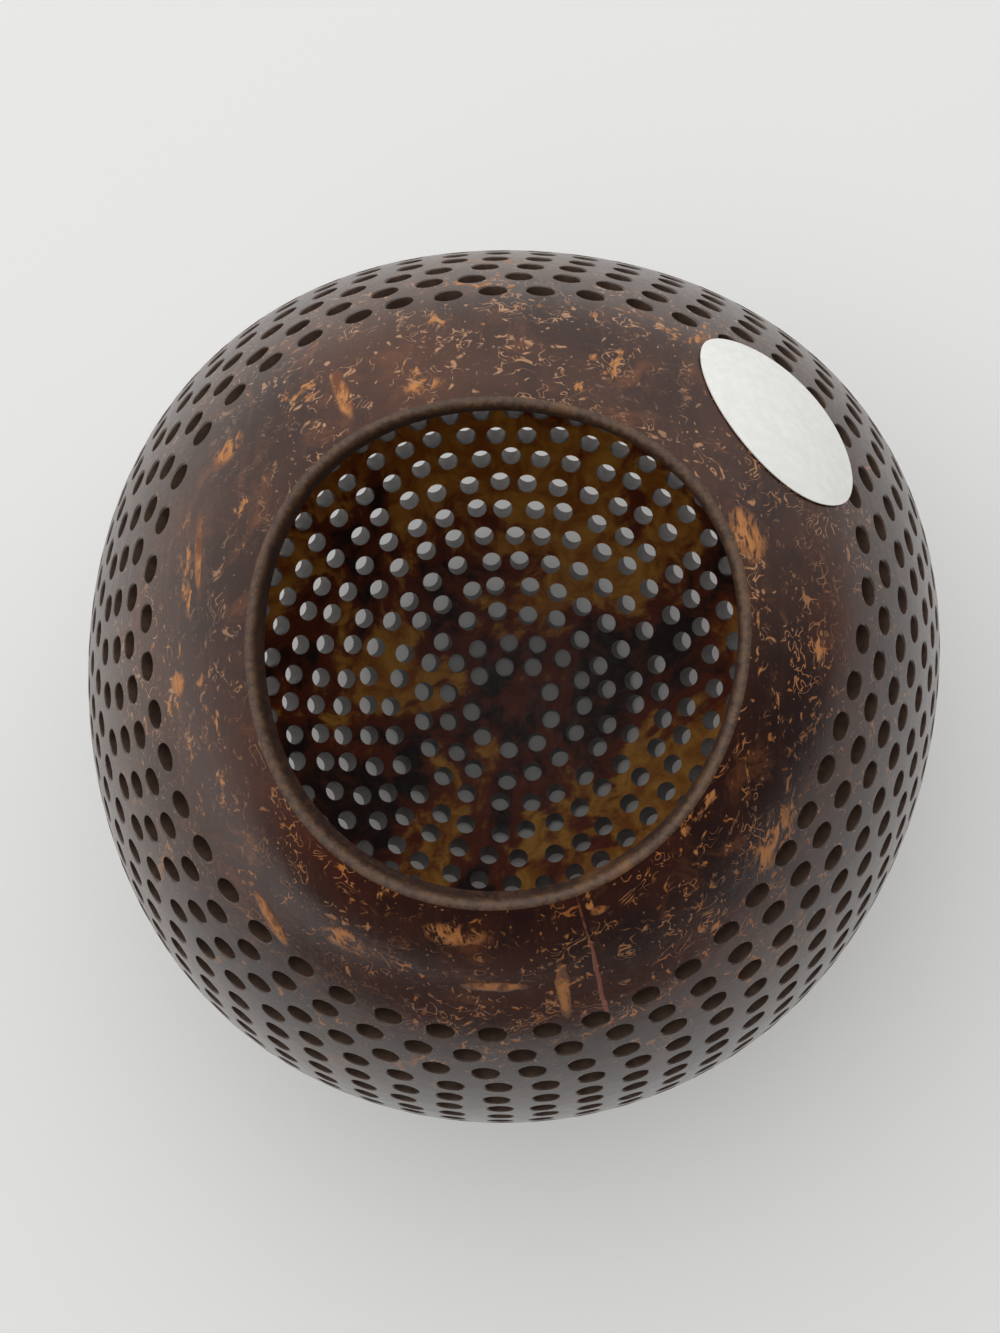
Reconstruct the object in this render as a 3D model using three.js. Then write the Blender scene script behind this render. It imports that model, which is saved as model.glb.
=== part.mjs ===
// Drilled coconut shell with a paper label, in millimetres, +Z up.
// The shell stands on a sanded flat at its base, and the origin is the middle of that flat.
// A wide round mouth is cut in the crown, and round holes are drilled through the wall below it.
import * as THREE from 'three';
import { ConvexHull } from 'three/addons/math/ConvexHull.js';

// Nut: an egg-like body, a little three-cornered as coconuts are
const equatorRadius = 60;
const crownHeight = 76.8;
const baseDepth = 54;
const crownExponent = 1.8;
const baseExponent = 2;
const lobes = [
  { waves: 2, share: 0.0134, turn: -142.3 },
  { waves: 3, share: 0.0144, turn: -69.1 },
  { waves: 4, share: 0.0096, turn: -162 },
];
const wallThickness = 4;
const baseFlatRadius = 14;

// Mouth cut in the crown, with a rounded outer edge
const mouthRadius = 26.5;
const rimRounding = 1.4;
const rimSides = 48;
const rimSteps = 4;

// Drilled holes: staggered rows that follow a wavy first row under the plain shoulder
const drillDiameter = 6.6;
const drillSides = 6;
const holePitch = 12;
const rowPitch = 10.5;
const shoulderBand = 21;
const shoulderWaves = [
  { waves: 1, rise: -0.9, turn: -165 },
  { waves: 2, rise: -2.4, turn: 121 },
  { waves: 3, rise: -2.6, turn: 98 },
];
const plainBaseRadius = 3.4;

// Paper label stuck on the shoulder
const labelLength = 23.5;
const labelWidth = 15.5;
const labelThickness = 0.25;
const labelClearance = 0.3;
const labelAzimuth = 41;
const labelBelowMouth = 19;
const labelTurn = -2;
const labelSides = 24;
const labelRings = 3;

const degrees = Math.PI / 180;
const profileSteps = 1600;
const baseSag = baseDepth * (1 - Math.pow(1 - Math.pow(baseFlatRadius / equatorRadius, baseExponent), 1 / baseExponent));
const equatorLevel = baseDepth - baseSag;

// Profile of the nut as arc length from the base pole, radius and level
function makeProfile() {
  const rows = [];
  let arc = 0;
  for (let i = 0; i <= profileSteps; i++) {
    const angle = Math.PI * i / profileSteps;
    const low = angle < Math.PI / 2;
    const power = 2 / (low ? baseExponent : crownExponent);
    const height = low ? -baseDepth : crownHeight;
    const radius = equatorRadius * Math.pow(Math.max(0, Math.sin(angle)), power);
    const level = equatorLevel + height * Math.pow(Math.abs(Math.cos(angle)), power);
    if (i > 0) arc += Math.hypot(radius - rows[i - 1].radius, level - rows[i - 1].level);
    rows.push({ arc, radius, level });
  }
  return rows;
}

const profile = makeProfile();
const crownArc = profile[profileSteps].arc;

function profileAt(arc) {
  const wanted = Math.min(Math.max(arc, 0), crownArc);
  let low = 0;
  let high = profileSteps;
  while (high - low > 1) {
    const middle = (low + high) >> 1;
    if (profile[middle].arc <= wanted) low = middle;
    else high = middle;
  }
  const share = (wanted - profile[low].arc) / (profile[high].arc - profile[low].arc);
  return {
    radius: THREE.MathUtils.lerp(profile[low].radius, profile[high].radius, share),
    level: THREE.MathUtils.lerp(profile[low].level, profile[high].level, share),
  };
}

function arcAtCrownRadius(radius) {
  let i = profileSteps;
  while (profile[i].radius < radius) i--;
  return profile[i].arc;
}

function lobeAt(azimuth) {
  return 1 + lobes.reduce((sum, l) => sum + l.share * Math.cos(l.waves * azimuth + l.turn * degrees), 0);
}

function surfacePoint(azimuth, arc) {
  const { radius, level } = profileAt(arc);
  const reach = radius * lobeAt(azimuth);
  return new THREE.Vector3(reach * Math.cos(azimuth), reach * Math.sin(azimuth), level);
}

// Surface frame at a place: outward normal, and unit steps round the nut and up it
function surfaceFrame(azimuth, arc) {
  const step = 0.5;
  const turn = step / Math.max(profileAt(arc).radius, step);
  const round = surfacePoint(azimuth + turn, arc).sub(surfacePoint(azimuth - turn, arc)).normalize();
  const rise = surfacePoint(azimuth, arc + step).sub(surfacePoint(azimuth, arc - step)).normalize();
  const normal = new THREE.Vector3().crossVectors(round, rise).normalize();
  return { round, rise: new THREE.Vector3().crossVectors(normal, round), normal };
}

const mouthArc = arcAtCrownRadius(mouthRadius);

function firstRowArc(azimuth) {
  const wave = shoulderWaves.reduce((sum, w) => sum + w.rise * Math.cos(w.waves * azimuth - w.turn * degrees), 0);
  return mouthArc - shoulderBand + wave;
}

// Places of the drilled holes, row by row from the shoulder down to the base
function holePlaces() {
  const places = [];
  const lowestArc = plainBaseRadius + drillDiameter / 2;
  const meanTop = mouthArc - shoulderBand;
  const rows = Math.floor((meanTop - lowestArc) / rowPitch);
  for (let row = 0; row <= rows; row++) {
    const share = row / rows;
    const rowArc = lowestArc + (meanTop - lowestArc) * (1 - share);
    const count = Math.max(3, Math.round(2 * Math.PI * profileAt(rowArc).radius / holePitch));
    for (let i = 0; i < count; i++) {
      const azimuth = 2 * Math.PI * (i + (row % 2) / 2) / count;
      const wave = (firstRowArc(azimuth) - meanTop) * Math.pow(1 - share, 2);
      places.push({ azimuth, arc: rowArc + wave });
    }
  }
  return places;
}

// The drilled wall: hole corners and plain rings lie on the outer surface, and the hull of them all
// gives the faces between the holes; the same faces turned over make the inside of the wall
function makeShell() {
  const points = [];
  const inner = [];
  const holeOf = [];
  const addPoint = (point, axis, hole) => {
    points.push(point);
    inner.push(point.clone().addScaledVector(axis, -wallThickness));
    holeOf.push(hole);
    return points.length - 1;
  };

  const holes = holePlaces().map((place, hole) => {
    const centre = surfacePoint(place.azimuth, place.arc);
    const frame = surfaceFrame(place.azimuth, place.arc);
    const radius = drillDiameter / 2;
    const around = Math.max(profileAt(place.arc).radius, radius);
    const corners = [];
    for (let k = 0; k < drillSides; k++) {
      const angle = 2 * Math.PI * k / drillSides;
      const flat = centre.clone().addScaledVector(frame.round, radius * Math.cos(angle))
        .addScaledVector(frame.rise, radius * Math.sin(angle));
      const azimuth = Math.atan2(flat.y, flat.x);
      const arc = place.arc + radius * Math.sin(angle) - (around > 3 * radius ? 0
        : (Math.hypot(centre.x, centre.y) + radius * Math.sin(angle)) - Math.hypot(flat.x, flat.y));
      corners.push(addPoint(surfacePoint(azimuth, Math.abs(arc)), frame.normal, hole));
    }
    return corners;
  });

  const plainRings = [0.36, 0.7];
  for (let i = 0; i < rimSides; i++) {
    for (const share of plainRings) {
      const azimuth = 2 * Math.PI * (i + share) / rimSides;
      const arc = THREE.MathUtils.lerp(firstRowArc(azimuth), mouthArc, share);
      addPoint(surfacePoint(azimuth, arc), surfaceFrame(azimuth, arc).normal, -1);
    }
  }

  // Mouth ring, whose cut wall drops straight down to the inner surface
  const mouth = [];
  for (let i = 0; i < rimSides; i++) {
    const azimuth = 2 * Math.PI * i / rimSides;
    const { normal } = surfaceFrame(azimuth, mouthArc);
    const point = surfacePoint(azimuth, mouthArc);
    const index = addPoint(point, normal, -1);
    const out = new THREE.Vector3(Math.cos(azimuth), Math.sin(azimuth), 0);
    const tilt = Math.atan2(normal.z, normal.dot(out));
    const cutInset = rimRounding * (1 + Math.cos(tilt));
    const slope = Math.cos(tilt) / Math.sin(tilt);
    inner[index] = point.clone().addScaledVector(out, -cutInset);
    inner[index].z += cutInset * slope - wallThickness / Math.sin(tilt);
    mouth.push({ index, point, out, tilt });
  }
  const crown = points.length;
  points.push(surfacePoint(0, crownArc));

  const order = new Map(points.map((point, index) => [point, index]));
  const outside = points.slice(0, crown);
  const faces = [];
  for (const face of new ConvexHull().setFromPoints(points).faces) {
    const corners = [face.getEdge(0), face.getEdge(1), face.getEdge(2)].map((edge) => order.get(edge.head().point));
    const drilled = holeOf[corners[0]] >= 0 && corners.every((c) => holeOf[c] === holeOf[corners[0]]);
    if (!drilled && !corners.includes(crown)) faces.push(corners);
  }

  const vertices = [...outside, ...inner].map((point) => point.clone());
  for (let i = 0; i < outside.length; i++) vertices[i].z = Math.max(0, vertices[i].z);
  const lower = outside.length;
  const triangles = [];
  for (const [a, b, c] of faces) triangles.push(a, b, c, lower + a, lower + c, lower + b);
  for (const corners of holes) {
    corners.forEach((a, k) => {
      const b = corners[(k + 1) % drillSides];
      triangles.push(a, b, lower + b, a, lower + b, lower + a);
    });
  }

  // Rounded outer edge of the mouth, then its straight cut wall
  let ring = mouth.map((m) => m.index);
  for (let step = 1; step <= rimSteps; step++) {
    const next = mouth.map(({ point, out, tilt }) => {
      const angle = THREE.MathUtils.lerp(tilt, Math.PI, step / rimSteps);
      const shift = rimRounding * (Math.cos(angle) - Math.cos(tilt));
      const vertex = point.clone().addScaledVector(out, shift);
      vertex.z += rimRounding * (Math.sin(angle) - Math.sin(tilt));
      vertices.push(vertex);
      return vertices.length - 1;
    });
    joinRings(triangles, ring, next);
    ring = next;
  }
  joinRings(triangles, ring, mouth.map((m) => lower + m.index));
  return makeGeometry(vertices, triangles);
}

function joinRings(triangles, from, to) {
  from.forEach((a, i) => {
    const j = (i + 1) % from.length;
    triangles.push(a, from[j], to[j], a, to[j], to[i]);
  });
}

function makeGeometry(vertices, triangles) {
  const geometry = new THREE.BufferGeometry().setFromPoints(vertices);
  geometry.setIndex(triangles);
  geometry.computeVertexNormals();
  return geometry;
}

// Oval label that follows the curve of the shoulder
function makeLabel() {
  const centreArc = mouthArc - labelBelowMouth;
  const centreRadius = profileAt(centreArc).radius;
  const place = (along, across, height) => {
    const turn = labelTurn * degrees;
    const round = along * Math.cos(turn) - across * Math.sin(turn);
    const rise = along * Math.sin(turn) + across * Math.cos(turn);
    const azimuth = labelAzimuth * degrees - Math.PI / 2 + Math.PI / 2 + round / centreRadius;
    const arc = centreArc + rise;
    return surfacePoint(azimuth, arc).addScaledVector(surfaceFrame(azimuth, arc).normal, height);
  };
  const vertices = [];
  const triangles = [];
  const layer = (height) => {
    const centre = vertices.push(place(0, 0, height)) - 1;
    const rings = [];
    for (let ring = 1; ring <= labelRings; ring++) {
      rings.push(Array.from({ length: labelSides }, (_, i) => {
        const angle = 2 * Math.PI * i / labelSides;
        const share = ring / labelRings / 2;
        return vertices.push(place(labelLength * share * Math.cos(angle), labelWidth * share * Math.sin(angle), height)) - 1;
      }));
    }
    return { centre, rings };
  };
  const under = layer(labelClearance);
  const upper = layer(labelClearance + labelThickness);
  const fan = (sheet, facingOut) => {
    const sheetTriangles = [];
    sheet.rings[0].forEach((a, i) => sheetTriangles.push(sheet.centre, a, sheet.rings[0][(i + 1) % labelSides]));
    for (let ring = 1; ring < labelRings; ring++) joinRings(sheetTriangles, sheet.rings[ring], sheet.rings[ring - 1]);
    for (let i = 0; i < sheetTriangles.length; i += 3) {
      const [a, b, c] = sheetTriangles.slice(i, i + 3);
      if (facingOut) triangles.push(a, b, c);
      else triangles.push(a, c, b);
    }
  };
  fan(upper, true);
  fan(under, false);
  joinRings(triangles, under.rings[labelRings - 1], upper.rings[labelRings - 1]);
  return makeGeometry(vertices, triangles);
}

function makeMesh(name, geometry, material) {
  const mesh = new THREE.Mesh(geometry, material);
  mesh.name = name;
  return mesh;
}

const polishedShell = new THREE.MeshStandardMaterial({ color: 0x4a2a1c, roughness: 0.4, metalness: 0 });
const labelPaper = new THREE.MeshStandardMaterial({ color: 0xf2f2ee, roughness: 0.8, metalness: 0 });

const drilledShell = new THREE.Group();
drilledShell.add(makeMesh('coconut_shell', makeShell(), polishedShell));
drilledShell.add(makeMesh('paper_label', makeLabel(), labelPaper));

export default drilledShell;
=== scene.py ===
import math

import bpy
import numpy as np
from mathutils import Matrix, Vector


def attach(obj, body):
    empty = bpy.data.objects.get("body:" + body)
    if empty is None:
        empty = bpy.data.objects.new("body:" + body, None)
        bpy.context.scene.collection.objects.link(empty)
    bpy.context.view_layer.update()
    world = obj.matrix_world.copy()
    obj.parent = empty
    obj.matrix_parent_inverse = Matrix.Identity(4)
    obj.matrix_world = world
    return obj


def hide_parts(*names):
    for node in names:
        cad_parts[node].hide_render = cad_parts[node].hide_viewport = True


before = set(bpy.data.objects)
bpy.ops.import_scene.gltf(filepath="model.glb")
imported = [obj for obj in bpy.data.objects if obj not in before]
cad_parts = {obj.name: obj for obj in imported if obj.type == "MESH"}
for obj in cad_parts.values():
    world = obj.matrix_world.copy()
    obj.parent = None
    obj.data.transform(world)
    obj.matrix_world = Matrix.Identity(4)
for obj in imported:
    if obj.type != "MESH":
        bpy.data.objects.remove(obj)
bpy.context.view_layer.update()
scene = bpy.context.scene

# The camera looks almost straight down into the mouth, from a little towards the front side.
# The picture's up is the shell's back, and the shell fills most of the width.
camera_place = Vector((0.0019, -0.0211, 0.2838))
camera_back = Vector((0.0150, -0.1006, 0.9948)).normalized()
camera_right = (-camera_back).cross(Vector((0, 1, 0))).normalized()
camera_up = camera_right.cross(-camera_back)
camera_data = bpy.data.cameras.new("camera")
camera_data.lens = 43.7
camera_data.clip_start = 0.01
camera = bpy.data.objects.new("camera", camera_data)
turn = Matrix((camera_right, camera_up, camera_back)).transposed().to_4x4()
camera.matrix_world = Matrix.Translation(camera_place) @ turn
scene.collection.objects.link(camera)
scene.camera = camera


# Coconut shell: the hard shell of one nut, husked, sanded, drilled and polished.
# Its body is egg-like and faintly three-cornered. The crown is sawn off to make the mouth,
# the base is sanded flat, and staggered rows of round holes go through all of the wall
# below a plain shoulder.
EQUATOR_RADIUS = 0.060
CROWN_HEIGHT = 0.0768
BASE_DEPTH = 0.054
CROWN_EXPONENT = 1.8
BASE_FLAT_RADIUS = 0.014
LOBES = ((2, 0.0134, -142.3), (3, 0.0144, -69.1), (4, 0.0096, -162.0))
WALL = 0.004
MOUTH_RADIUS = 0.0265
RIM_ROUNDING = 0.0007
MOUTH_SHIFT = (-0.0010, -0.0023)
MOUTH_SHIFT_DEPTH = 0.012
POLE_RADIUS = 0.00001
DRILL_DIAMETER = 0.0033
HOLE_PITCH = 0.0055
ROW_PITCH = 0.0051
SHOULDER_BAND = 0.0210
SHOULDER_WAVES = ((1, -0.0009, -165.0), (2, -0.0013, 125.0), (3, -0.0021, 105.0))
PLAIN_BASE_PITCHES = 0.8
UNEVENNESS = 0.0003
LOOSER_AT_BASE = 1.6
DRILL_SEED = 7
SHELL_CREASE = math.radians(32)
SKIN, RIM, INSIDE = range(3)

base_sag = BASE_DEPTH * (1 - math.sqrt(1 - (BASE_FLAT_RADIUS / EQUATOR_RADIUS) ** 2))


def nut_profile(steps=1600):
    """Arc length from the base pole, radius and level of the nut's outline."""
    angle = np.linspace(0, math.pi, steps)
    low = angle < math.pi / 2
    power = np.where(low, 1.0, 2 / CROWN_EXPONENT)
    height = np.where(low, -BASE_DEPTH, CROWN_HEIGHT)
    radius = EQUATOR_RADIUS * np.maximum(0, np.sin(angle)) ** power
    level = BASE_DEPTH - base_sag + height * np.abs(np.cos(angle)) ** power
    arc = np.concatenate([[0], np.cumsum(np.hypot(np.diff(radius), np.diff(level)))])
    return arc, radius, level


arc_table, radius_table, level_table = nut_profile()
crown_side = len(arc_table) // 2
mouth_arc = float(np.interp(-MOUTH_RADIUS, -radius_table[crown_side:], arc_table[crown_side:]))


def profile_point(arc):
    return np.interp(arc, arc_table, radius_table), np.interp(arc, arc_table, level_table)


def profile_normal(arc, step=0.0004):
    r0, z0 = profile_point(np.maximum(arc - step, 0))
    r1, z1 = profile_point(arc + step)
    length = np.hypot(r1 - r0, z1 - z0)
    return (z1 - z0) / length, (r0 - r1) / length


def lobe(azimuth):
    return 1 + sum(share * np.cos(waves * azimuth + math.radians(turn)) for waves, share, turn in LOBES)


def surface_point(azimuth, arc, lift=0.0):
    radius, level = profile_point(arc)
    out, up = profile_normal(arc)
    reach = radius * lobe(azimuth) + out * lift
    return np.stack([reach * np.cos(azimuth), reach * np.sin(azimuth), level + up * lift], -1)


def with_mouth_shift(points):
    """Moves the crown sideways, more the nearer it is to the mouth, which is cut off centre."""
    points = np.array(points, dtype=float)
    mouth_level = float(profile_point(mouth_arc)[1])
    share = np.clip((points[:, 2] - mouth_level + MOUTH_SHIFT_DEPTH) / MOUTH_SHIFT_DEPTH, 0, 1)
    share = share * share * (3 - 2 * share)
    points[:, 0] += MOUTH_SHIFT[0] * share
    points[:, 1] += MOUTH_SHIFT[1] * share
    return points


def make_object(name, vertices, faces, materials=(), face_material=None):
    mesh = bpy.data.meshes.new(name)
    mesh.from_pydata([tuple(v) for v in vertices], [], faces)
    for material in materials:
        mesh.materials.append(material)
    if face_material is not None:
        mesh.polygons.foreach_set("material_index", face_material)
    mesh.polygons.foreach_set("use_smooth", [True] * len(mesh.polygons))
    mesh.update()
    made = bpy.data.objects.new(name, mesh)
    scene.collection.objects.link(made)
    return made


class Field:
    """A socket in a node tree that sums and products can be written with."""

    def __init__(self, tree, socket):
        self.tree = tree
        self.socket = socket

    def math(self, operation, *others):
        return node(self.tree, "ShaderNodeMath", {"operation": operation}, dict(enumerate((self, *others))))

    def __add__(self, other):
        return self.math("ADD", other)

    def __radd__(self, other):
        return self.math("ADD", other)

    def __sub__(self, other):
        return self.math("SUBTRACT", other)

    def __rsub__(self, other):
        return self.math("MULTIPLY", -1.0).math("ADD", other)

    def __mul__(self, other):
        return self.math("MULTIPLY", other)

    def __rmul__(self, other):
        return self.math("MULTIPLY", other)

    def __truediv__(self, other):
        return self.math("DIVIDE", other)

    def __pow__(self, other):
        return self.math("POWER", other)

    def cos(self):
        return self.math("COSINE")

    def out(self, name):
        return Field(self.tree, self.socket.node.outputs[name])


def feed(tree, socket, value):
    if isinstance(value, Field):
        tree.links.new(value.socket, socket)
    else:
        socket.default_value = value


def node(tree, kind, settings=None, sockets=None, out=0):
    """Adds one node with its settings and the values or links of its sockets."""
    made = tree.nodes.new(kind)
    for name, value in (settings or {}).items():
        setattr(made, name, value)
    for name, value in (sockets or {}).items():
        feed(tree, made.inputs[name], value)
    return Field(tree, made.outputs[out])


def blend(tree, share, first, second):
    """Mixes two colours by a share from 0 to 1."""
    sockets = {0: share, 6: colour(first), 7: colour(second)}
    return node(tree, "ShaderNodeMix", {"data_type": "RGBA"}, sockets, out=2)


def colour(value):
    return value if isinstance(value, Field) else (*value, 1.0)


def step_up(field, low, high):
    """A share that goes from 0 to 1 as the field goes from low to high."""
    sockets = {"Value": field, "From Min": low, "From Max": high}
    return node(field.tree, "ShaderNodeMapRange", {"interpolation_type": "SMOOTHSTEP"}, sockets)


def new_material(name, roughness):
    material = bpy.data.materials.new(name)
    material.use_nodes = True
    tree = material.node_tree
    shader = tree.nodes["Principled BSDF"]
    shader.inputs["Roughness"].default_value = roughness
    place = node(tree, "ShaderNodeTexCoord").out("Object")
    return material, tree, shader, place


def stretched(tree, place, scale, turn=(0.0, 0.0, 0.0)):
    return node(tree, "ShaderNodeMapping", None, {"Vector": place, "Scale": scale, "Rotation": turn})


def noise(tree, place, scale, detail=3.0, roughness=0.55, distortion=0.0):
    sockets = {"Vector": place, "Scale": scale, "Detail": detail, "Roughness": roughness}
    sockets["Distortion"] = distortion
    return node(tree, "ShaderNodeTexNoise", None, sockets)


def bump(tree, shader, height, distance, strength):
    sockets = {"Height": height, "Distance": distance, "Strength": strength}
    feed(tree, shader.inputs["Normal"], node(tree, "ShaderNodeBump", None, sockets))


def bent(tree, place, scale, amount):
    """Coordinates pushed about by a noise, so that straight marks come out curved."""
    push = node(tree, "ShaderNodeTexNoise", None, {"Vector": place, "Scale": scale, "Detail": 1.0})
    sockets = {0: push.out("Color"), 1: (amount, amount, amount), 2: place}
    return node(tree, "ShaderNodeVectorMath", {"operation": "MULTIPLY_ADD"}, sockets)


def thin_lines(tree, place, scale, width):
    """Fine curly lines, where a slow noise passes its middle value."""
    found = noise(tree, place, scale, 1.0, 0.5, 1.5)
    return 1.0 - step_up((found - 0.5).math("ABSOLUTE"), width * 0.3, width)


def dashes(tree, place, scale, stretch, turn, kept):
    """Scattered short dashes: the share of stretched cells that is kept."""
    cells = stretched(tree, place, stretch, turn)
    spots = node(tree, "ShaderNodeTexVoronoi", None, {"Vector": cells, "Scale": scale})
    pick = node(tree, "ShaderNodeSeparateColor", None, {0: spots.out("Color")})
    return (1.0 - step_up(spots.out("Distance"), 0.08, 0.22)) * step_up(pick, 1.0 - kept, 1.02 - kept)


def mark(tree, place, azimuth, below_mouth, length, width, turn, edge):
    """One oval mark in the skin, turned from the way round the shell towards the mouth."""
    azimuth = math.radians(azimuth)
    arc = mouth_arc - below_mouth
    centre = with_mouth_shift([surface_point(azimuth, arc)])[0]
    out, up = profile_normal(arc)
    normal = Vector((out * math.cos(azimuth), out * math.sin(azimuth), up))
    east = Vector((-math.sin(azimuth), math.cos(azimuth), 0))
    on_skin = Matrix((east, normal.cross(east), normal)).transposed()
    turned = on_skin @ Matrix.Rotation(math.radians(turn), 3, "Z")
    sockets = {"Vector": place, "Location": tuple(centre), "Rotation": turned.to_euler()}
    sockets["Scale"] = (length / 2, width / 2, MARK_REACH)
    local = node(tree, "ShaderNodeMapping", {"vector_type": "TEXTURE"}, sockets)
    away = node(tree, "ShaderNodeVectorMath", {"operation": "LENGTH"}, {0: local}, out="Value")
    return 1.0 - step_up(away + edge, 0.6, 1.0)


def all_marks(tree, place, marks, edge):
    found = 0.0
    for measures in marks.values():
        found = mark(tree, place, *measures, edge=edge).math("MAXIMUM", found)
    return found


# The marks that stand out in the skin: azimuth in degrees, depth below the mouth's edge,
# length and width in metres, and turn in degrees.
FIBRE_STREAKS = {
    "groove at the back left of the mouth": (122, 0.006, 0.010, 0.0020, 80),
    "slanted streak on the left": (164, 0.011, 0.011, 0.0016, 25),
    "upright streak at the front": (279, 0.016, 0.011, 0.0018, 90),
    "groove at the front left": (230, 0.018, 0.009, 0.0022, -33),
    "level curl at the front": (268, 0.014, 0.008, 0.0022, 0),
    "small bright knot by the mouth": (291, 0.003, 0.002, 0.0014, 0),
}
FIBRE_PATCHES = {
    "worn patch at the front left": (242, 0.012, 0.006, 0.005, 0),
    "worn patch at the front right": (323, 0.014, 0.010, 0.007, 20),
    "knot on the left": (188, 0.014, 0.004, 0.004, 0),
    "knot at the back left": (146, 0.014, 0.006, 0.005, 0),
    "curled fibres on the right": (24, 0.002, 0.008, 0.006, 0),
    "fibres at the back of the mouth": (106, 0.003, 0.006, 0.003, 0),
    "fibres at the front of the mouth": (262, 0.004, 0.009, 0.004, 0),
}
CRACKS = {
    "long crack down the front": (286, 0.016, 0.031, 0.00055, 90),
    "hairline on the right": (27, 0.031, 0.015, 0.0005, 88),
}
MARK_REACH = 0.004

# Colours of the skin, each pair from its darker to its lighter places
BROWN_SKIN = ((0.026, 0.0068, 0.0027), (0.068, 0.0225, 0.0090))
RED_SKIN = ((0.013, 0.0012, 0.0005), (0.050, 0.0095, 0.0030))
# Greyer brown for the drilled wall below the shoulder: a painted sheen, the grey reflection of the white
# room at grazing angles put into the colour.
PAINTED_SHEEN_ON_DRILLED_SKIN = (0.042, 0.020, 0.013)
BRUSHED_SKIN = (0.11, 0.041, 0.019)
MOTTLED_SKIN = (0.16, 0.050, 0.013)
PORED_SKIN = (0.20, 0.075, 0.028)
TAN_FIBRE = ((0.14, 0.040, 0.010), (0.50, 0.20, 0.055))
FLECK_AT_BACK = (0.46, 0.24, 0.12)
FLECK_AT_FRONT = (0.48, 0.17, 0.035)
CRACKED_WOOD = (0.30, 0.085, 0.045)
SHOULDER_LEVELS = (0.084, 0.104)
FLECKED_LEVELS = (0.086, 0.102)
SKIN_GLOSS = 0.36


def polished_skin():
    """Dark glossy skin with tan fibre flecks and patches, redder and darker at the front, and greyed below
    the shoulder by a painted sheen.
    """
    material, tree, shader, place = new_material("polished_skin", 0.4)
    shader.inputs["Specular IOR Level"].default_value = SKIN_GLOSS
    axes = node(tree, "ShaderNodeSeparateXYZ", None, {0: place})
    warp = noise(tree, place, 60.0, 2.0)
    patches = noise(tree, place, 34.0, 5.0, 0.62, 0.5)
    mottle = noise(tree, place, 160.0, 4.0, 0.7, 0.6)
    fine = noise(tree, place, 700.0, 4.0, 0.7)
    brushed = noise(tree, stretched(tree, place, (1.0, 0.14, 0.14)), 900.0, 3.0, 0.6)
    front = step_up((warp - 0.5) * 0.06 - axes.out("Y") + 0.35 * axes.out("X"), -0.012, 0.026)
    band = step_up(axes.out("Z") + (warp - 0.5) * 0.02, *SHOULDER_LEVELS)
    brown = blend(tree, step_up(patches, 0.36, 0.66), *BROWN_SKIN)
    red = blend(tree, step_up(patches, 0.40, 0.64), *RED_SKIN)
    skin = blend(tree, front * (band * 0.7 + 0.3), brown, red)
    # Painted sheen: below the shoulder band the skin is greyed towards a grey-brown.
    skin = blend(tree, (1.0 - band) * 0.35, skin, PAINTED_SHEEN_ON_DRILLED_SKIN)
    skin = blend(tree, step_up(brushed, 0.50, 0.75) * (0.35 - 0.20 * front), skin, BRUSHED_SKIN)
    skin = blend(tree, step_up(mottle, 0.54, 0.72) * 0.55, skin, MOTTLED_SKIN)
    skin = blend(tree, step_up(fine, 0.58, 0.8) * 0.30, skin, PORED_SKIN)
    crowded = step_up(noise(tree, place, 45.0, 3.0, 0.6), 0.36, 0.58)
    high = step_up(axes.out("Z"), *FLECKED_LEVELS) * 0.85 + 0.15
    wavy = bent(tree, place, 420.0, 0.0035)
    hairs = thin_lines(tree, place, 420.0, 0.024) * step_up(noise(tree, place, 300.0, 2.0), 0.50, 0.58)
    flecks = dashes(tree, wavy, 800.0, (1.0, 0.45, 0.4), (0.4, 0.5, 0.4), 0.42)
    flecks = flecks.math("MAXIMUM", dashes(tree, wavy, 700.0, (0.40, 1.0, 0.6), (0.2, 0.3, 0.9), 0.36))
    flecks = flecks.math("MAXIMUM", dashes(tree, wavy, 1300.0, (1.0, 0.7, 0.5), (0.9, 0.1, 0.2), 0.45))
    specks = flecks.math("MAXIMUM", hairs) * (crowded * 0.8 + 0.2) * high
    tan_noise = noise(tree, stretched(tree, place, (1.0, 0.7, 0.6)), 105.0, 5.0, 0.72, 1.2)
    fibres = noise(tree, stretched(tree, place, (1.0, 0.35, 0.5), (0.0, 0.0, 0.6)), 800.0, 3.0, 0.65, 0.8)
    ragged = (fibres - 0.5) * 1.6 + (mottle - 0.5) * 1.2
    tan = step_up(tan_noise + (fibres - 0.5) * 0.35, 0.60, 0.67) * high
    worn = all_marks(tree, place, FIBRE_PATCHES, ragged) * step_up(fibres + (mottle - 0.5) * 0.5, 0.42, 0.52)
    streaks = all_marks(tree, place, FIBRE_STREAKS, ragged * 0.6)
    cracks = all_marks(tree, bent(tree, place, 130.0, 0.0012), CRACKS, (mottle - 0.5) * 1.4)
    fibre = tan.math("MAXIMUM", worn).math("MAXIMUM", streaks)
    bright = blend(tree, step_up(fibres, 0.38, 0.62), *TAN_FIBRE)
    skin = blend(tree, fibre * 0.9, skin, bright)
    skin = blend(tree, specks * 0.85, skin, blend(tree, front, FLECK_AT_BACK, FLECK_AT_FRONT))
    skin = blend(tree, cracks * 0.8, skin, CRACKED_WOOD)
    feed(tree, shader.inputs["Base Color"], skin)
    rough = 0.27 - 0.07 * front + 0.16 * (fine - 0.5) + 0.25 * fibre + 0.10 * (mottle - 0.5)
    feed(tree, shader.inputs["Roughness"], rough)
    height = fine * 0.3 + mottle * 0.5 + brushed * 0.25 - specks * 0.5 - cracks + fibres * fibre
    bump(tree, shader, height, 0.00012, 0.45)
    return material


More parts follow.
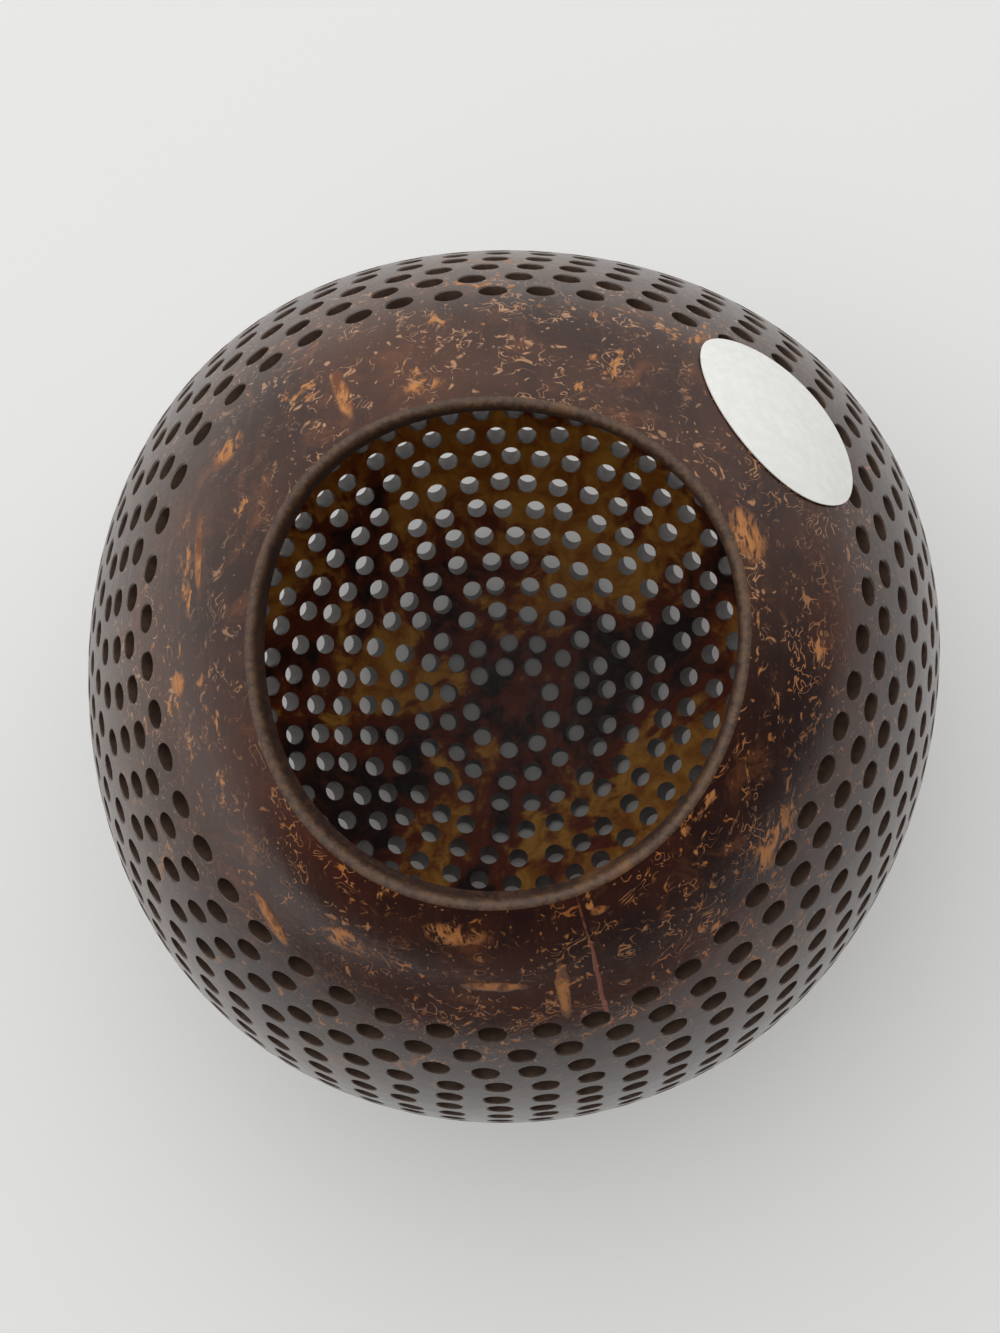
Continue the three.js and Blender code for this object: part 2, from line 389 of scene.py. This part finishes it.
RIM_WOOD = ((0.040, 0.017, 0.008), (0.110, 0.055, 0.024))
CUT_WOOD = ((0.018, 0.005, 0.003), (0.10, 0.038, 0.014))
AMBER_AT_RIM = (0.24, 0.105, 0.030)
RIM_LEVELS = (0.1172, 0.1184)


def sawn_rim():
    """Sanded edge of the mouth, grey-brown and open grained with a few amber places."""
    material, tree, shader, place = new_material("sawn_rim", 0.55)
    grain = noise(tree, stretched(tree, place, (1.0, 1.0, 0.35)), 1500.0, 4.0, 0.7, 0.4)
    patches = noise(tree, place, 70.0, 4.0, 0.6)
    edge = step_up(node(tree, "ShaderNodeSeparateXYZ", None, {0: place}).out("Z"), *RIM_LEVELS)
    wood = blend(tree, step_up(grain, 0.35, 0.68), *RIM_WOOD)
    dark = blend(tree, step_up(grain, 0.4, 0.7), *CUT_WOOD)
    wood = blend(tree, edge, dark, wood)
    wood = blend(tree, step_up(patches, 0.56, 0.70) * 0.6, wood, AMBER_AT_RIM)
    feed(tree, shader.inputs["Base Color"], wood)
    feed(tree, shader.inputs["Roughness"], 0.40 + 0.3 * grain)
    bump(tree, shader, grain, 0.00008, 0.5)
    return material


INNER_WOOD = ((0.016, 0.0035, 0.002), (0.11, 0.028, 0.009))
INNER_RED = (0.20, 0.035, 0.008)
INNER_AMBER = ((0.42, 0.13, 0.010), (0.80, 0.40, 0.060))


def inner_skin():
    """Unpolished inside: near black, with dark red and golden brown patches."""
    material, tree, shader, place = new_material("inner_skin", 0.5)
    patches = noise(tree, place, 38.0, 5.0, 0.62, 0.7)
    fine = noise(tree, place, 500.0, 4.0, 0.6)
    veins = noise(tree, stretched(tree, place, (1.0, 1.0, 0.5)), 150.0, 4.0, 0.65, 1.0)
    stains = patches + (veins - 0.5) * 0.2
    wood = blend(tree, step_up(veins, 0.45, 0.7), *INNER_WOOD)
    amber = blend(tree, step_up(veins, 0.35, 0.7), *INNER_AMBER)
    wood = blend(tree, step_up(stains, 0.42, 0.50), wood, INNER_RED)
    wood = blend(tree, step_up(stains, 0.50, 0.57), wood, amber)
    feed(tree, shader.inputs["Base Color"], wood)
    feed(tree, shader.inputs["Roughness"], 0.35 + 0.3 * fine)
    bump(tree, shader, fine + patches, 0.0004, 0.5)
    return material


def bored_wood():
    """Walls of the drilled holes: dark and a little scorched, with a slight gloss."""
    material, tree, shader, place = new_material("bored_wood", 0.32)
    fine = noise(tree, place, 650.0, 3.0)
    wood = blend(tree, fine, (0.020, 0.010, 0.008), (0.11, 0.070, 0.050))
    feed(tree, shader.inputs["Base Color"], wood)
    bump(tree, shader, fine, 0.0002, 0.5)
    return material


def turned_wall(azimuth_steps=120, outer_rows=56, inner_rows=46, rim_rows=6, cut_rows=3):
    """The undrilled wall as one closed skin: outside, rounded rim, cut wall and inside."""
    arcs = np.linspace(0, mouth_arc, outer_rows)
    radius, level = profile_point(arcs)
    rows = [(r, z, SKIN) for r, z in zip(radius[1:], np.maximum(level[1:], 0))]
    out, up = profile_normal(np.array([mouth_arc]))
    tilt = math.atan2(up[0], out[0])
    for i in range(1, rim_rows + 1):
        angle = tilt + (math.pi - tilt) * i / rim_rows
        shift = RIM_ROUNDING * (math.cos(angle) - math.cos(tilt))
        rise = RIM_ROUNDING * (math.sin(angle) - math.sin(tilt))
        rows.append((radius[-1] + shift, level[-1] + rise, RIM))
    inner_radius, inner_level = profile_point(np.linspace(mouth_arc, 0, inner_rows))
    nout, nup = profile_normal(np.linspace(mouth_arc, 0, inner_rows))
    inner_radius = inner_radius - nout * WALL
    inner_level = inner_level - nup * WALL
    cut_radius = rows[-1][0]
    cut_level = float(np.interp(cut_radius, inner_radius[: inner_rows // 2], inner_level[: inner_rows // 2]))
    cut_top = rows[-1][1]
    for i in range(1, cut_rows + 1):
        rows.append((cut_radius, cut_top * (1 - i / cut_rows) + cut_level * i / cut_rows, RIM))
    for r, z in zip(inner_radius, inner_level):
        under_cut = r > cut_radius and z < cut_level
        lower_half = z < level[-1] / 2 and r > POLE_RADIUS
        if under_cut or lower_half:
            rows.append((r, z, INSIDE))
    azimuth = np.linspace(0, 2 * math.pi, azimuth_steps, endpoint=False)
    vertices = [(0.0, 0.0, 0.0)]
    for r, z, _ in rows:
        reach = r * lobe(azimuth)
        vertices += list(zip(reach * np.cos(azimuth), reach * np.sin(azimuth), np.full(azimuth_steps, z)))
    vertices.append((0.0, 0.0, WALL - base_sag))
    faces = []
    kinds = []
    for k in range(azimuth_steps):
        nxt = (k + 1) % azimuth_steps
        faces.append((0, 1 + nxt, 1 + k))
        kinds.append(SKIN)
        for i in range(len(rows) - 1):
            a = 1 + i * azimuth_steps
            b = a + azimuth_steps
            faces.append((a + k, a + nxt, b + nxt, b + k))
            kinds.append(rows[i + 1][2])
        last = 1 + (len(rows) - 1) * azimuth_steps
        faces.append((last + k, last + nxt, len(vertices) - 1))
        kinds.append(INSIDE)
    return with_mouth_shift(vertices), faces, kinds


def drill_bit(sides=16, reach=0.0070, clear=0.002, chamfer=0.00016):
    """A drill's outline that leaves a small chamfer where it enters the wall."""
    radius = DRILL_DIAMETER / 2
    wide = radius + 2 * chamfer
    outline = ((radius, -reach), (radius, -chamfer), (wide, chamfer), (wide, clear))
    angles = [2 * math.pi * k / sides for k in range(sides)]
    vertices = [(r * math.cos(a), r * math.sin(a), z) for r, z in outline for a in angles]
    faces = [tuple(reversed(range(sides))), tuple(range(3 * sides, 4 * sides))]
    for ring in range(3):
        for k in range(sides):
            a = ring * sides + k
            b = ring * sides + (k + 1) % sides
            faces.append((a, b, b + sides, a + sides))
    return make_object("drill_bit", vertices, faces)


def profile_guide():
    """The nut's outline as a curve from the base pole to the crown, for the rows of holes."""
    data = bpy.data.curves.new("profile_guide", "CURVE")
    data.dimensions = "3D"
    spline = data.splines.new("POLY")
    picks = range(0, len(arc_table), 5)
    spline.points.add(len(picks) - 1)
    for point, i in zip(spline.points, picks):
        point.co = (radius_table[i], 0.0, level_table[i], 1.0)
    made = bpy.data.objects.new("profile_guide", data)
    scene.collection.objects.link(made)
    return made


def drilling_tree():
    """Geometry nodes that drill staggered rows of holes through the wall."""
    tree = bpy.data.node_groups.new("drilled_rows", "GeometryNodeTree")
    tree.is_modifier = True
    interface = tree.interface
    interface.new_socket("Geometry", in_out="INPUT", socket_type="NodeSocketGeometry")
    interface.new_socket("Guide", in_out="INPUT", socket_type="NodeSocketObject")
    interface.new_socket("Drill Bit", in_out="INPUT", socket_type="NodeSocketObject")
    interface.new_socket("Bore Finish", in_out="INPUT", socket_type="NodeSocketMaterial")
    for name in ("First Row Arc", "Row Pitch", "Hole Pitch", "Unevenness"):
        interface.new_socket(name, in_out="INPUT", socket_type="NodeSocketFloat")
    for name in ("Rows", "Seed"):
        interface.new_socket(name, in_out="INPUT", socket_type="NodeSocketInt")
    interface.new_socket("Geometry", in_out="OUTPUT", socket_type="NodeSocketGeometry")
    inputs = node(tree, "NodeGroupInput")
    rows = inputs.out("Rows")
    guide = node(tree, "GeometryNodeObjectInfo", None, {"Object": inputs.out("Guide")}).out("Geometry")
    bit = node(tree, "GeometryNodeObjectInfo", None, {"Object": inputs.out("Drill Bit")}).out("Geometry")

    def sample(arc):
        return node(tree, "GeometryNodeSampleCurve", {"mode": "LENGTH"}, {"Curves": guide, "Length": arc})

    def keep(geometry, name, value):
        settings = {"data_type": "FLOAT", "domain": "POINT"}
        return node(
            tree,
            "GeometryNodeStoreNamedAttribute",
            settings,
            {"Geometry": geometry, "Name": name, "Value": value},
        )

    def kept(name):
        return node(tree, "GeometryNodeInputNamedAttribute", {"data_type": "FLOAT"}, {"Name": name})

    def uneven(salt):
        settings = {"data_type": "FLOAT"}
        seed = inputs.out("Seed") + salt
        found = node(tree, "FunctionNodeRandomValue", settings, {2: -1.0, 3: 1.0, "Seed": seed}, out=1)
        return found * inputs.out("Unevenness")

    row = node(tree, "GeometryNodeInputIndex") * 1.0
    row_arc = inputs.out("First Row Arc") - row * inputs.out("Row Pitch")
    row_radius = node(tree, "ShaderNodeSeparateXYZ", None, {0: sample(row_arc).out("Position")})
    in_row = (row_radius * (2 * math.pi) / inputs.out("Hole Pitch")).math("ROUND").math("MAXIMUM", 3.0)
    starts = node(tree, "GeometryNodePoints", None, {"Count": rows})
    starts = keep(starts, "row", row)
    starts = keep(starts, "in_row", in_row)
    starts = keep(starts, "row_arc", row_arc)
    copies = node(
        tree,
        "GeometryNodeDuplicateElements",
        {"domain": "POINT"},
        {"Geometry": starts, "Amount": kept("in_row")},
    )
    places = keep(copies, "place", copies.out("Duplicate Index") * 1.0)
    stagger = kept("row").math("MODULO", 2.0) * 0.5
    looser = 1.0 + LOOSER_AT_BASE * (kept("row") / rows) ** 2.0
    slip = uneven(1) / inputs.out("Hole Pitch") * looser
    azimuth = (kept("place") + stagger + slip) * (2 * math.pi) / kept("in_row")
    places = keep(places, "azimuth", azimuth)
    azimuth = kept("azimuth")
    wave = 0.0
    for waves, rise, turn in SHOULDER_WAVES:
        wave = wave + rise * (azimuth * float(waves) - math.radians(turn)).cos()
    fade = (1.0 - kept("row") / rows) ** 2.0
    arc = kept("row_arc") + wave * fade + uneven(2) * looser
    found = sample(arc)
    place = node(tree, "ShaderNodeSeparateXYZ", None, {0: found.out("Position")})
    along = node(tree, "ShaderNodeSeparateXYZ", None, {0: found.out("Tangent")})
    reach = 1.0
    for waves, share, turn in LOBES:
        reach = reach + share * (azimuth * float(waves) + math.radians(turn)).cos()
    reach = place.out("X") * reach
    east = azimuth.cos()
    north = azimuth.math("SINE")
    position = node(
        tree,
        "ShaderNodeCombineXYZ",
        None,
        {0: reach * east, 1: reach * north, 2: place.out("Z").math("MAXIMUM", 0.0)},
    )
    steep = along.out("Z")
    normal = node(
        tree,
        "ShaderNodeCombineXYZ",
        None,
        {0: steep * east, 1: steep * north, 2: along.out("X") * -1.0},
    )
    places = node(tree, "GeometryNodeSetPosition", None, {"Geometry": places, "Position": position})
    aim = node(tree, "FunctionNodeAlignRotationToVector", {"axis": "Z"}, {"Vector": normal})
    bits = node(
        tree,
        "GeometryNodeInstanceOnPoints",
        None,
        {"Points": places, "Instance": bit, "Rotation": aim},
    )
    bits = node(tree, "GeometryNodeRealizeInstances", None, {"Geometry": bits})
    bits = node(
        tree,
        "GeometryNodeStoreNamedAttribute",
        {"data_type": "BOOLEAN", "domain": "FACE"},
        {"Geometry": bits, "Name": "bored", "Value": True},
    )
    drilled = node(
        tree,
        "GeometryNodeMeshBoolean",
        {"operation": "DIFFERENCE", "solver": "MANIFOLD"},
        {"Mesh 1": inputs.out("Geometry"), "Mesh 2": bits},
    )
    drilled = node(tree, "GeometryNodeRealizeInstances", None, {"Geometry": drilled})
    bored = node(tree, "GeometryNodeInputNamedAttribute", {"data_type": "BOOLEAN"}, {"Name": "bored"})
    finished = node(
        tree,
        "GeometryNodeSetMaterial",
        None,
        {"Geometry": drilled, "Selection": bored, "Material": inputs.out("Bore Finish")},
    )
    outputs = tree.nodes.new("NodeGroupOutput")
    tree.links.new(finished.socket, outputs.inputs["Geometry"])
    return tree


def evaluated_copy(source, name):
    """The object as its modifiers leave it, as a plain mesh under a new name."""
    depsgraph = bpy.context.evaluated_depsgraph_get()
    mesh = bpy.data.meshes.new_from_object(source.evaluated_get(depsgraph))
    mesh.name = name
    made = bpy.data.objects.new(name, mesh)
    scene.collection.objects.link(made)
    return made


wall_vertices, wall_faces, wall_kinds = turned_wall()
blank = make_object(
    "undrilled_wall",
    wall_vertices,
    wall_faces,
    (polished_skin(), sawn_rim(), inner_skin()),
    wall_kinds,
)
bit = drill_bit()
guide = profile_guide()
drilling = blank.modifiers.new("drilled_rows", "NODES")
drilling.node_group = drilling_tree()
socket_ids = {s.name: s.identifier for s in drilling.node_group.interface.items_tree if s.in_out == "INPUT"}
first_row_arc = mouth_arc - SHOULDER_BAND
rows = 1 + int((first_row_arc - PLAIN_BASE_PITCHES * HOLE_PITCH) / ROW_PITCH)
for name, value in {
    "Guide": guide,
    "Drill Bit": bit,
    "Bore Finish": bored_wood(),
    "First Row Arc": first_row_arc,
    "Row Pitch": ROW_PITCH,
    "Hole Pitch": HOLE_PITCH,
    "Unevenness": UNEVENNESS,
    "Rows": rows,
    "Seed": DRILL_SEED,
}.items():
    drilling[socket_ids[name]] = value
shell = evaluated_copy(blank, "drilled_coconut_shell")
shell.data.polygons.foreach_set("use_smooth", [True] * len(shell.data.polygons))
shell.data.set_sharp_from_angle(angle=SHELL_CREASE)
for helper in (blank, bit, guide):
    bpy.data.objects.remove(helper)
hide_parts("coconut_shell")
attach(shell, "root")


# Paper label: a small white oval of gummed paper, stuck on the shoulder over the edge
# of the first row of holes. It is blank.
LABEL_LENGTH = 0.0235
LABEL_WIDTH = 0.0180
LABEL_THICKNESS = 0.00016
LABEL_LIFT = 0.00012
LABEL_AZIMUTH = math.radians(39)
LABEL_BELOW_MOUTH = 0.0172
LABEL_TURN = math.radians(-2)
LABEL_CREASE = math.radians(40)
PAPER_WHITE = ((0.80, 0.80, 0.76), (0.86, 0.86, 0.82))


def label_paper():
    """White coated paper with a very faint fibre and a slight cockle."""
    material, tree, shader, place = new_material("label_paper", 0.55)
    fibre = noise(tree, place, 900.0, 4.0)
    cockle = noise(tree, place, 120.0, 2.0)
    paper = blend(tree, step_up(fibre, 0.3, 0.7), *PAPER_WHITE)
    feed(tree, shader.inputs["Base Color"], paper)
    bump(tree, shader, fibre * 0.2 + cockle, 0.0002, 0.4)
    return material


def label_sheet(sides=72, rings=14):
    """The oval sheet, laid on the curve of the shoulder, with its edge as thick as the paper."""
    centre_arc = mouth_arc - LABEL_BELOW_MOUTH
    centre_radius = float(profile_point(centre_arc)[0])
    angles = np.linspace(0, 2 * math.pi, sides, endpoint=False)

    def ring(share, lift):
        along = LABEL_LENGTH / 2 * share * np.cos(angles)
        across = LABEL_WIDTH / 2 * share * np.sin(angles)
        round_way = along * math.cos(LABEL_TURN) - across * math.sin(LABEL_TURN)
        rise = along * math.sin(LABEL_TURN) + across * math.cos(LABEL_TURN)
        return surface_point(LABEL_AZIMUTH + round_way / centre_radius, centre_arc + rise, lift)

    levels = [(i / rings, LABEL_LIFT + LABEL_THICKNESS) for i in range(1, rings + 1)]
    levels += [(i / rings, LABEL_LIFT) for i in range(rings, 0, -1)]
    vertices = [ring(0.0, LABEL_LIFT + LABEL_THICKNESS)[0]]
    for share, lift in levels:
        vertices += list(ring(share, lift))
    vertices.append(ring(0.0, LABEL_LIFT)[0])
    faces = []
    for k in range(sides):
        nxt = (k + 1) % sides
        faces.append((0, 1 + k, 1 + nxt))
        for i in range(len(levels) - 1):
            a = 1 + i * sides
            faces.append((a + k, a + sides + k, a + sides + nxt, a + nxt))
        last = 1 + (len(levels) - 1) * sides
        faces.append((last + nxt, last + k, len(vertices) - 1))
    return with_mouth_shift(vertices), faces


label_vertices, label_faces = label_sheet()
label = make_object("blank_paper_label", label_vertices, label_faces, (label_paper(),))
label.data.set_sharp_from_angle(angle=LABEL_CREASE)
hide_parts("paper_label")
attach(label, "root")


# Floor and light: a pale sheet that ends in front of the shell, so that the polished front
# mirrors a darker room, and one wide soft lamp above and a little behind on the left.
FLOOR_LEFT, FLOOR_RIGHT = -1.5, 0.50
FLOOR_FRONT, FLOOR_BACK = -0.26, 1.5
FLOOR_WHITE = (0.85, 0.85, 0.835, 1.0)
ROOM_DARK = (0.20, 0.19, 0.18)
ROOM_BRIGHT = (0.98, 0.99, 1.0)
BACKDROP_WHITE = (0.84, 0.84, 0.83)
ROOM_STRENGTH = 0.90


def floor_paper():
    material, _, shader, _ = new_material("floor_white", 0.7)
    shader.inputs["Base Color"].default_value = FLOOR_WHITE
    return material


floor_corners = [
    (FLOOR_LEFT, FLOOR_FRONT, 0),
    (FLOOR_RIGHT, FLOOR_FRONT, 0),
    (FLOOR_RIGHT, FLOOR_BACK, 0),
    (FLOOR_LEFT, FLOOR_BACK, 0),
]
floor = make_object("floor", floor_corners, [(0, 1, 2, 3)], (floor_paper(),))


def soft_lamp(name, place, size, power):
    data = bpy.data.lights.new(name, "AREA")
    data.size = size
    data.energy = power
    lamp = bpy.data.objects.new(name, data)
    lamp.location = place
    lamp.rotation_euler = (-Vector(place)).to_track_quat("-Z", "Y").to_euler()
    scene.collection.objects.link(lamp)


soft_lamp("window_light", place=(-0.24, 0.22, 1.15), size=1.8, power=9.5)
world = bpy.data.worlds.new("soft_room")
world.use_nodes = True
sky = world.node_tree
way = node(sky, "ShaderNodeSeparateXYZ", None, {0: node(sky, "ShaderNodeTexCoord")})
open_side = step_up(way.out("Y") - 0.35 * way.out("X"), -0.60, 0.50)
room = blend(sky, open_side, ROOM_DARK, ROOM_BRIGHT)
seen = node(sky, "ShaderNodeLightPath").out("Is Camera Ray")
feed(sky, sky.nodes["Background"].inputs["Color"], blend(sky, seen, room, BACKDROP_WHITE))
sky.nodes["Background"].inputs["Strength"].default_value = ROOM_STRENGTH
scene.world = world
scene.view_settings.view_transform = "Standard"
